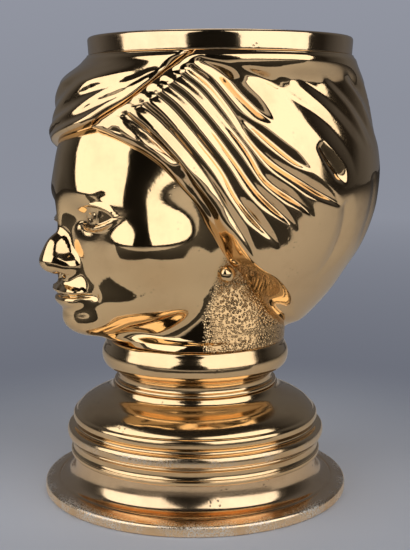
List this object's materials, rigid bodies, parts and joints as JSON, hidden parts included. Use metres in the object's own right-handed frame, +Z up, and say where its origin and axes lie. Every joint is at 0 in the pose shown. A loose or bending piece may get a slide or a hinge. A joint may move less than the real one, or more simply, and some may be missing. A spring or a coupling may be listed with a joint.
{
  "type": "face vase",
  "caption": "Glazed ceramic vase: a calm head with parted, waved hair, open at an upright rim collar, raised on a turned, hollow pedestal with a wide flat foot.",
  "frame": {"origin": "centre of the foot's underside, on the surface that the vase stands on", "axes": "+Z up along the pedestal's axis, the face looks towards -Y, +X is the side where the hair is parted"},
  "size_m": [0.204, 0.242, 0.3],
  "materials": {
    "foot_lustre": "worn gold lustre, slightly brushed",
    "drum_lustre": "gold lustre",
    "skin_lustre": "mirror gold lustre",
    "hair_lustre": "mirror gold lustre",
    "rim_lustre": "mirror gold lustre"
  },
  "bodies": {
    "root": {"foot_disc": "foot_lustre", "plinth_drum": "drum_lustre", "waist": "drum_lustre", "neck_ring": "drum_lustre", "head_shell": "skin_lustre", "hair_cap": "hair_lustre", "rim_collar": "rim_lustre", "ear_lobe_near": "skin_lustre", "ear_lobe_far": "skin_lustre"}
  },
  "joints": []
}
